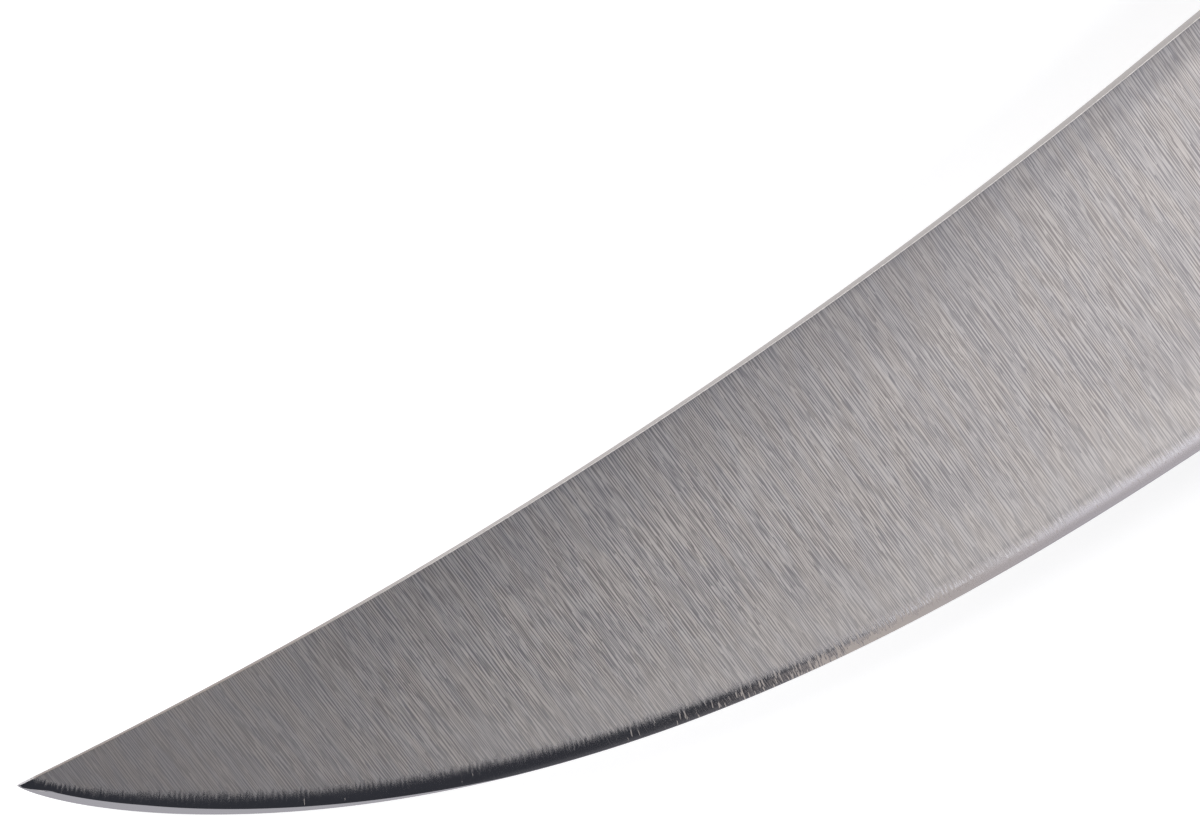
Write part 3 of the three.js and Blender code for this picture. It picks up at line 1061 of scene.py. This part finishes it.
    def blank_mesh(self, points: Sequence[BlankPoint], faces: Sequence[tuple[int, ...]]) -> Mesh:
        """Make the blank's mesh, facing left, with its attributes.

        Args:
            points: Points of the blank.
            faces: Corners of its faces.

        Returns:
            The flat mesh.
        """
        mesh = bpy.data.meshes.new("blade_blank")
        turned = []
        for face in faces:
            first, second, third = (points[i] for i in face[:3])
            turn = (second.x - first.x) * (third.y - first.y) - (second.y - first.y) * (third.x - first.x)
            turned.append(face if turn > 0 else face[::-1])
        mesh.from_pydata([self.datum.place(p.x, p.y, 0.0) for p in points], [], turned)
        for trait in fields(BlankPoint)[2:]:
            values = mesh.attributes.new(trait.name, "FLOAT", "POINT")
            values.data.foreach_set("value", [getattr(p, trait.name) for p in points])
        return mesh

    def half_thickness(self, tree: NodeTree, size: dict[str, Socket], trait: dict[str, Socket]) -> Node:
        """Work out half the blade's thickness at each point of the blank.

        Args:
            tree: Tree that takes the nodes.
            size: The tree's named inputs.
            trait: What the blank knows at each point.

        Returns:
            The node that gives it, in millimetres.
        """
        along = add_node(tree, "ShaderNodeMapRange", {
            "Value": trait["from_tip"], "From Max": size["Taper length"]})
        curved = add_node(tree, "ShaderNodeMath", {0: along, 1: size["Taper curve"]}, operation="POWER")
        spine = add_node(tree, "ShaderNodeMapRange", {
            "Value": curved, "To Min": size["Tip half"], "To Max": size["Sheet half"]})
        sheltered = add_node(tree, "ShaderNodeMapRange", {
            "Value": trait["from_tip"], "From Max": size["Taper length"],
            "To Min": size["Tip shoulder half"], "To Max": size["Shoulder half"]})
        shoulder = add_node(tree, "ShaderNodeMath", {0: sheltered, 1: spine}, operation="MINIMUM")
        below = add_node(tree, "ShaderNodeMath", {0: 1.0, 1: trait["bevel_share"]}, operation="SUBTRACT")
        hollow = add_node(tree, "ShaderNodeMath", {0: below, 1: size["Bevel fullness"]}, operation="POWER")
        full = add_node(tree, "ShaderNodeMath", {0: 1.0, 1: hollow}, operation="SUBTRACT")
        honed_most = add_node(tree, "ShaderNodeMath", {0: shoulder, 1: self.honed_top_limit},
                              operation="MULTIPLY")
        honed_rise = add_node(tree, "ShaderNodeMath", {
            0: trait["honed_width"], 1: size["Honed slope"], 2: size["Edge half"]}, operation="MULTIPLY_ADD")
        honed_top = add_node(tree, "ShaderNodeMath", {0: honed_rise, 1: honed_most}, operation="MINIMUM")
        honed = add_node(tree, "ShaderNodeMapRange", {
            "Value": trait["honed_share"], "To Min": size["Edge half"], "To Max": honed_top})
        bevel = add_node(tree, "ShaderNodeMapRange", {"Value": full, "To Min": honed, "To Max": shoulder})
        taper = add_node(tree, "ShaderNodeMapRange", {
            "Value": trait["taper_share"], "To Min": bevel, "To Max": spine})

        corner_most = add_node(tree, "ShaderNodeMath", {0: spine, 1: self.ease_limit}, operation="MULTIPLY")
        corner = add_node(tree, "ShaderNodeMath", {0: size["Ease"], 1: corner_most}, operation="MINIMUM")
        eased = self.quarter_round(tree, trait["ease_share"])
        lost = add_node(tree, "ShaderNodeMath", {0: 1.0, 1: eased}, operation="SUBTRACT")
        drop = add_node(tree, "ShaderNodeMath", {0: lost, 1: corner}, operation="MULTIPLY")
        cornered = add_node(tree, "ShaderNodeMath", {0: taper, 1: drop}, operation="SUBTRACT")
        near = add_node(tree, "ShaderNodeMapRange", {
            "Value": trait["from_tip"], "From Max": size["Point length"]})
        pointed = add_node(tree, "ShaderNodeMath", {0: cornered, 1: self.quarter_round(tree, near)},
                           operation="MULTIPLY")
        return add_node(tree, "ShaderNodeMapRange", {
            "Value": trait["tang"], "To Min": pointed, "To Max": size["Sheet half"]})

    def grind_tree(self) -> NodeTree:
        """Build the tree that grinds a flat blank to thickness on both sides and closes its rim."""
        names = ["Sheet half", "Tip half", "Taper length", "Taper curve", "Point length", "Ease",
                 "Shoulder half", "Tip shoulder half", "Bevel fullness", "Honed slope", "Edge half"]
        sockets = {name: "NodeSocketFloat" for name in names}
        tree, given = new_tree("blade_grind", {**sockets, "Material": "NodeSocketMaterial"})
        size = {socket.name: socket for socket in given.outputs}
        trait = {}
        for name in (t.name for t in fields(BlankPoint)[2:]):
            read = add_node(tree, "GeometryNodeInputNamedAttribute", {"Name": name}, data_type="FLOAT")
            trait[name] = read.outputs["Attribute"]
        half = self.half_thickness(tree, size, trait)
        height = add_node(tree, "ShaderNodeMath", {0: half, 1: MM}, operation="MULTIPLY")

        sides = add_node(tree, "GeometryNodeInputMeshEdgeNeighbors")
        on_rim = add_node(tree, "FunctionNodeCompare", {"A_INT": sides, "B_INT": 1}, data_type="INT",
                          operation="EQUAL")
        walled = add_node(tree, "GeometryNodeExtrudeMesh", {
            "Mesh": size["Geometry"], "Selection": on_rim, "Offset Scale": 0.0}, mode="EDGES")
        sign = add_node(tree, "GeometryNodeSwitch", {
            "Switch": walled.outputs["Top"], "False": float(Side.LEFT.value),
            "True": float(Side.RIGHT.value)}, input_type="FLOAT")
        rise = add_node(tree, "ShaderNodeMath", {0: height, 1: sign}, operation="MULTIPLY")
        lift = add_node(tree, "ShaderNodeCombineXYZ", {"Z": rise})
        left = add_node(tree, "GeometryNodeSetPosition", {"Geometry": walled, "Offset": lift})
        flipped = add_node(tree, "GeometryNodeFlipFaces", {"Mesh": size["Geometry"]})
        fall = add_node(tree, "ShaderNodeMath", {0: height, 1: float(Side.RIGHT.value)},
                        operation="MULTIPLY")
        sink = add_node(tree, "ShaderNodeCombineXYZ", {"Z": fall})
        right = add_node(tree, "GeometryNodeSetPosition", {"Geometry": flipped, "Offset": sink})
        joined = add_node(tree, "GeometryNodeJoinGeometry", {"Geometry": [left, right]})
        welded = add_node(tree, "GeometryNodeMergeByDistance", {
            "Geometry": joined, "Distance": RIM_WELD * MM})
        end_tree(tree, welded, size["Material"])
        return tree

    def quarter_round(self, tree: NodeTree, share: object) -> Node:
        """Add the rise of a quarter circle over a share from 0 to 1.

        Args:
            tree: Tree that takes the nodes.
            share: Node or socket with the share.

        Returns:
            The node that gives the rise.
        """
        rest = add_node(tree, "ShaderNodeMath", {0: 1.0, 1: share}, operation="SUBTRACT")
        square = add_node(tree, "ShaderNodeMath", {0: rest, 1: rest}, operation="MULTIPLY")
        inside = add_node(tree, "ShaderNodeMath", {0: 1.0, 1: square}, operation="SUBTRACT")
        return add_node(tree, "ShaderNodeMath", {0: inside}, operation="SQRT")

    def crisp_lines(self, mesh: Mesh) -> None:
        """Keep the line where the honed edge meets the bevel crisp."""
        honed = np.zeros(len(mesh.vertices), np.float32)
        mesh.attributes["honed_share"].data.foreach_get("value", honed)
        bevel = np.zeros(len(mesh.vertices), np.float32)
        mesh.attributes["bevel_share"].data.foreach_get("value", bevel)
        on_line = (honed > 1 - SHARE_STEP) & (bevel < SHARE_STEP)
        for edge in mesh.edges:
            if all(on_line[i] for i in edge.vertices):
                edge.use_edge_sharp = True

    def lay_uv(self, mesh: Mesh) -> None:
        """Lay a UV map whose U runs along the blade, for the direction of the ground lines."""
        places = np.zeros(len(mesh.vertices) * 3, np.float32)
        mesh.vertices.foreach_get("co", places)
        corners = np.zeros(len(mesh.loops), np.int32)
        mesh.loops.foreach_get("vertex_index", corners)
        at_corners = places.reshape(-1, 3)[corners]
        uv = np.stack([at_corners[:, 0], at_corners[:, 1] + at_corners[:, 2]], axis=1) / (self.length * MM)
        mesh.uv_layers.new(name=self.finish.uv_map).data.foreach_set("uv", uv.ravel())

    def build(self) -> Object:
        """Build the ground and dressed blade."""
        piece = link_object("ground_blade", self.blank())
        apply_tree(piece, self.grind_tree(), {
            "Sheet half": self.sheet / 2, "Tip half": self.tip_thickness / 2,
            "Taper length": self.taper_length, "Taper curve": self.taper_curve,
            "Point length": self.point_length, "Ease": self.ease,
            "Shoulder half": self.shoulder / 2, "Tip shoulder half": self.tip_shoulder / 2,
            "Bevel fullness": self.bevel_fullness, "Honed slope": self.honed_slope,
            "Edge half": self.edge_half, "Material": self.finish.material()})
        shade(piece.data, self.crease)
        self.crisp_lines(piece.data)
        self.lay_uv(piece.data)
        seat(piece, ["blade"])
        return piece


@dataclass(frozen=True)
class Scale:
    """One rounded handle scale, bored for the rivets."""

    datum: Datum
    outline: HandleOutline
    side: Side
    rivets: Sequence[float]
    inner: float = 1.35  # clear of the tang by the glue line
    outer: float = 10.0
    round_width: float = 4.2
    round_depth: float = 6.0
    counterbore: float = 4.1
    counterbore_floor: float = 8.1
    shank_hole: float = 2.6
    round_steps: int = 14
    hole_sides: int = 64
    crease: float = 40.0
    flat_margin: float = 0.3  # a narrow ring keeps the flat face flat where it meets the rounding

    def layers(self) -> list[tuple[list[Point], float]]:
        """Give the outlines of the scale and their heights, from the tang outwards."""
        outline = self.outline.corners()
        made = [(outline, self.inner)]
        start = self.outer - self.round_depth
        for i in range(self.round_steps + 1):
            turn = math.pi / 2 * i / self.round_steps
            made.append((inset(outline, self.round_width * (1 - math.cos(turn))),
                         start + self.round_depth * math.sin(turn)))
        made.append((inset(outline, self.round_width + self.flat_margin), self.outer))
        return made

    def build(self, material: Material) -> Object:
        """Build the scale.

        Args:
            material: Its finish.

        Returns:
            The finished piece.
        """
        points: list[Vector] = []
        faces: list[tuple[int, ...]] = []

        def ring(loop: Sequence[Point], z: float) -> list[int]:
            """Add a loop of points and give their places."""
            start = len(points)
            points.extend(self.datum.place(x, y, self.side.value * z) for x, y in loop)
            return list(range(start, len(points)))

        def wall(lower: list[int], upper: list[int]) -> None:
            """Join two loops."""
            for i in range(len(lower)):
                faces.append((lower[i - 1], lower[i], upper[i], upper[i - 1]))

        def cap(loops: list[list[int]]) -> None:
            """Fill an outline round its holes."""
            index = [i for loop in loops for i in loop]
            flat = [[Vector((points[i].x, points[i].y, 0)) / MM for i in loop] for loop in loops]
            faces.extend(tuple(index[i] for i in triangle) for triangle in tessellate_polygon(flat))

        rings = [ring(loop, z) for loop, z in self.layers()]
        for lower, upper in zip(rings, rings[1:]):
            wall(lower, upper)
        shanks, mouths = [], []
        for place in self.rivets:
            narrow = circle(place, 0.0, self.shank_hole, self.hole_sides)
            wide = circle(place, 0.0, self.counterbore, self.hole_sides)
            bore = [ring(narrow, self.inner), ring(narrow, self.counterbore_floor),
                    ring(wide, self.counterbore_floor), ring(wide, self.outer)]
            for lower, upper in zip(bore, bore[1:]):
                wall(lower, upper)
            shanks.append(bore[0])
            mouths.append(bore[-1])
        cap([rings[0], *shanks])
        cap([rings[-1], *mouths])
        name = f"rosewood_scale_{self.side.name.lower()}"
        mesh = bpy.data.meshes.new(name)
        mesh.from_pydata(points, [], faces)
        mesh.materials.append(material)
        shade(mesh, self.crease)
        piece = link_object(name, mesh)
        seat(piece, [f"scale_{self.side.name.lower()}"])
        return piece


@dataclass(frozen=True)
class RivetRow:
    """Two-piece rivets, pressed together through the handle."""

    datum: Datum
    finish: Brass
    rivets: Sequence[float]
    face: float = 9.95  # just below the faces of the scales
    head_radius: float = 4.0
    head_thickness: float = 1.8
    chamfer: float = 0.15
    pin_radius: float = 1.6
    pin_chamfer: float = 0.3
    pin_end_gap: float = 0.5
    bore_radius: float = 1.7
    tube_radius: float = 2.5
    tube_end_gap: float = 0.3
    bore_start: float = 0.8
    sides: int = 64
    crease: float = 30.0

    def pin_profile(self) -> list[Point]:
        """Give the profile of the pin half as radius and z, from the end of the pin to the left face."""
        underside = self.face - self.head_thickness
        end = self.bore_start - underside + self.pin_end_gap
        return [(0.0, end), (self.pin_radius - self.pin_chamfer, end),
                (self.pin_radius, end + self.pin_chamfer), (self.pin_radius, underside),
                (self.head_radius, underside),
                (self.head_radius, self.face - self.chamfer), (self.head_radius - self.chamfer, self.face),
                (0.0, self.face)]

    def tube_profile(self) -> list[Point]:
        """Give the profile of the tube half, from the right face to the floor of its bore."""
        underside = self.face - self.head_thickness
        end = underside - self.tube_end_gap
        return [(0.0, -self.face), (self.head_radius - self.chamfer, -self.face),
                (self.head_radius, self.chamfer - self.face), (self.head_radius, -underside),
                (self.tube_radius, -underside), (self.tube_radius, end), (self.bore_radius, end),
                (self.bore_radius, self.bore_start - underside), (0.0, self.bore_start - underside)]

    def one_rivet(self) -> Mesh:
        """Turn both halves of one rivet about the z axis, with each point's distance from it."""
        points: list[tuple[float, float, float]] = []
        radii: list[float] = []
        faces: list[tuple[int, ...]] = []
        for profile in (self.pin_profile(), self.tube_profile()):
            rings = []
            for radius, z in profile:
                loop = circle(0.0, 0.0, radius, self.sides) if radius else [(0.0, 0.0)]
                rings.append(list(range(len(points), len(points) + len(loop))))
                points += [(x * MM, y * MM, z * MM) for x, y in loop]
                radii += [radius] * len(loop)
            for lower, upper in zip(rings, rings[1:]):
                for i in range(self.sides):
                    corners = [lower[(i - 1) % len(lower)], lower[i % len(lower)],
                               upper[i % len(upper)], upper[(i - 1) % len(upper)]]
                    faces.append(tuple(dict.fromkeys(corners)))
        mesh = bpy.data.meshes.new("one_rivet")
        mesh.from_pydata(points, [], faces)
        mesh.attributes.new("from_axis", "FLOAT", "POINT").data.foreach_set("value", radii)
        return mesh

    def row_tree(self) -> NodeTree:
        """Build the tree that sets rivets out in a row."""
        sizes = {"Count": "NodeSocketInt", "First": "NodeSocketVector", "Spacing": "NodeSocketVector"}
        tree, given = new_tree("rivet_row", {**sizes, "Material": "NodeSocketMaterial"})
        size = given.outputs
        line = add_node(tree, "GeometryNodeMeshLine", {
            "Count": size["Count"], "Start Location": size["First"], "Offset": size["Spacing"]},
            mode="OFFSET")
        row = add_node(tree, "GeometryNodeInstanceOnPoints", {"Points": line, "Instance": size["Geometry"]})
        end_tree(tree, row, size["Material"])
        return tree

    def build(self, nodes: Sequence[str]) -> Object:
        """Build the row.

        Args:
            nodes: Nodes of the frame that it stands for.

        Returns:
            The finished piece.
        """
        piece = link_object("brass_rivets", self.one_rivet())
        apply_tree(piece, self.row_tree(), {
            "Count": len(self.rivets), "First": self.datum.place(self.rivets[0], 0.0, 0.0),
            "Spacing": Vector(((self.rivets[1] - self.rivets[0]) * MM, 0.0, 0.0)),
            "Material": self.finish.material()})
        shade(piece.data, self.crease)
        seat(piece, nodes)
        return piece


@dataclass(frozen=True)
class PhotoCamera:
    """Camera at the photograph's angle: above the left side, towards the spine, rolled along the blade."""

    lens: float = 300.0
    sensor: float = 36.0
    distance: float = 1196.8
    lean: float = 20.0  # degrees from upright, towards the spine
    roll: float = 34.36  # degrees that the knife rises to the right
    aim: Point = (-171.475, 9.906)  # point of the blade's middle plane in the centre of the picture

    def build(self, datum: Datum) -> Object:
        """Build the camera and make it the scene's.

        Args:
            datum: The knife's datum.

        Returns:
            The camera.
        """
        lean, roll = math.radians(self.lean), math.radians(self.roll)
        back = Vector((0.0, math.sin(lean), math.cos(lean)))
        across = Vector((0.0, math.cos(lean), -math.sin(lean)))
        along = Vector((1.0, 0.0, 0.0))
        right = math.cos(roll) * along - math.sin(roll) * across
        up = math.sin(roll) * along + math.cos(roll) * across
        settings = bpy.data.cameras.new("photo_camera")
        settings.lens = self.lens
        settings.sensor_width = self.sensor
        camera = bpy.data.objects.new("photo_camera", settings)
        bpy.context.scene.collection.objects.link(camera)
        place = datum.place(*self.aim, 0.0) + back * self.distance * MM
        camera.matrix_world = Matrix.Translation(place) @ Matrix((right, up, back)).transposed().to_4x4()
        bpy.context.scene.camera = camera
        return camera


@dataclass(frozen=True)
class Softbox:
    """A flat soft lamp, in millimetres of the frame."""

    name: str
    centre: tuple[float, float, float]
    aim: tuple[float, float, float]
    width: float  # along x
    height: float
    radiance: float
    tint: str = "#ffffff"

    def build(self) -> Object:
        """Build the lamp, unseen by the camera itself."""
        lamp = bpy.data.lights.new(self.name, "AREA")
        lamp.shape = "RECTANGLE"
        lamp.size = self.width * MM
        lamp.size_y = self.height * MM
        lamp.energy = self.radiance * math.pi * lamp.size * lamp.size_y
        lamp.color = linear(self.tint)[:3]
        piece = bpy.data.objects.new(self.name, lamp)
        bpy.context.scene.collection.objects.link(piece)
        place = Vector(self.centre) * MM
        piece.matrix_world = Matrix.Translation(place) @ (
            (Vector(self.aim) * MM - place).to_track_quat("-Z", "Y").to_matrix().to_4x4())
        piece.visible_camera = False
        return piece


@dataclass(frozen=True)
class Studio:
    """White floor, grey and then pale walls under a darker ceiling, and soft lamps."""

    floor_size: float = 400.0  # metres
    floor_drop: float = 0.05  # below the knife, so that the two faces don't coincide
    floor_colour: str = "#f2f2f2"
    floor_shade: str = "#cbcbcb"  # how the camera and metal see it lit by the lamps, with the knife's shadow
    floor_glow: float = 0.8  # plain white that is added to that
    handle_glow: float = 0.48  # less is added where the handle rests, so that its shadow shows
    handle_centre: tuple[float, float, float] = (130.0, 0.0, 0.0)
    glow_reach: float = 380.0
    horizon: str = "#ffffff"
    far_wall: str = "#808287"  # low and grey, so that bright steel stands out from the floor in low views
    wall: str = "#c9cbd0"
    ceiling: str = "#3d4047"
    horizon_end: float = 0.012  # heights of a direction, from 0 at the horizon to 1 straight up
    far_wall_start: float = 0.03
    far_wall_end: float = 0.12
    wall_start: float = 0.45
    wall_end: float = 0.66
    ceiling_start: float = 0.8

    def floor(self) -> Object:
        """Lay the floor, which shows as white and still takes the knife's shadow."""
        half = self.floor_size / 2
        z = -self.floor_drop * MM
        mesh = bpy.data.meshes.new("floor")
        mesh.from_pydata([(-half, -half, z), (half, -half, z), (half, half, z), (-half, half, z)], [],
                         [(0, 1, 2, 3)])
        material, make = start_material("white_paper")
        tree = make.tree
        ray = add_node(tree, "ShaderNodeLightPath").outputs
        shown = add_node(tree, "ShaderNodeMath", {0: ray["Is Camera Ray"], 1: ray["Is Glossy Ray"]},
                         operation="MAXIMUM")
        seen = add_node(tree, "ShaderNodeMath", {0: shown, 1: ray["Is Transmission Ray"]},
                        operation="MAXIMUM")
        paper = add_node(tree, "ShaderNodeBsdfDiffuse", {"Color": linear(self.floor_colour)})
        shaded = add_node(tree, "ShaderNodeBsdfDiffuse", {"Color": linear(self.floor_shade)})
        handle = tuple(length * MM for length in self.handle_centre)
        away = add_node(tree, "ShaderNodeVectorMath", {0: make.object_coordinates(), 1: handle},
                        operation="DISTANCE").outputs["Value"]
        glow = make.ramp(away, Band(0.0, self.glow_reach * MM, self.handle_glow, self.floor_glow))
        white = add_node(tree, "ShaderNodeEmission", {"Strength": glow})
        lit = add_node(tree, "ShaderNodeAddShader", {0: shaded, 1: white})
        end_material(material, add_node(tree, "ShaderNodeMixShader", {0: seen, 1: paper, 2: lit}))
        mesh.materials.append(material)
        piece = link_object("floor", mesh)
        return piece

    def room(self) -> None:
        """Light the room: a white horizon, a grey far wall, pale walls and a darker ceiling."""
        world = bpy.data.worlds.new("studio")
        bpy.context.scene.world = world
        world.use_nodes = True
        tree = world.node_tree
        tree.nodes.clear()
        where = add_node(tree, "ShaderNodeTexCoord").outputs["Generated"]
        rise = add_node(tree, "ShaderNodeSeparateXYZ", {0: where}).outputs["Z"]
        make = PatternMaker(tree)
        colour: str | Node = self.horizon
        for start, end, tint in ((self.horizon_end, self.far_wall_start, self.far_wall),
                                 (self.far_wall_end, self.wall_start, self.wall),
                                 (self.wall_end, self.ceiling_start, self.ceiling)):
            colour = make.blend(colour, tint, make.ramp(rise, Band(start, end)))
        sky = add_node(tree, "ShaderNodeBackground", {"Color": colour, "Strength": 1.0})
        add_node(tree, "ShaderNodeOutputWorld", {"Surface": sky})

    def lamps(self) -> list[Softbox]:
        """List the lamps."""
        return [
            Softbox("overhead_softbox", centre=(297.0, -195.0, 470.0), aim=(297.0, -195.0, 0.0), width=804.0,
                    height=280.0, radiance=1.25),
            Softbox("front_card", centre=(286.0, -450.0, 470.0), aim=(286.0, -450.0, 0.0), width=828.0,
                    height=230.0, radiance=0.7, tint="#fff8f2"),
            Softbox("rear_softbox", centre=(100.0, 430.0, 460.0), aim=(20.0, 0.0, 0.0), width=1000.0,
                    height=320.0, radiance=2.4),
        ]

    def build(self) -> None:
        """Set up the room and its light."""
        self.floor()
        self.room()
        for lamp in self.lamps():
            lamp.build()
        bpy.context.scene.view_settings.view_transform = "Standard"


def main() -> None:
    """Build the knife, its camera and its light."""
    logging.basicConfig(level=logging.INFO, format="%(name)s: %(message)s")
    datum = frame_datum()
    heads = [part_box(f"rivet_{place}_male") for place in ("front", "middle", "rear")]
    rivets = [((low.x + high.x) / 2 - datum.front) / MM for low, high in heads]
    outline = HandleOutline(length=(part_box("scale_left")[1].x - datum.front) / MM)
    blade_length = (datum.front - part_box("blade")[0].x) / MM
    PhotoCamera().build(datum)
    Studio().build()
    Blade(datum, outline, GroundSteel(), blade_length, rivets).build()
    rosewood = Rosewood().material()
    for side in Side:
        Scale(datum, outline, side, rivets).build(rosewood)
    rivet_nodes = [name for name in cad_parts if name.startswith("rivet_")]
    RivetRow(datum, Brass(), rivets).build(sorted(rivet_nodes))


if __name__ == "__main__":
    main()
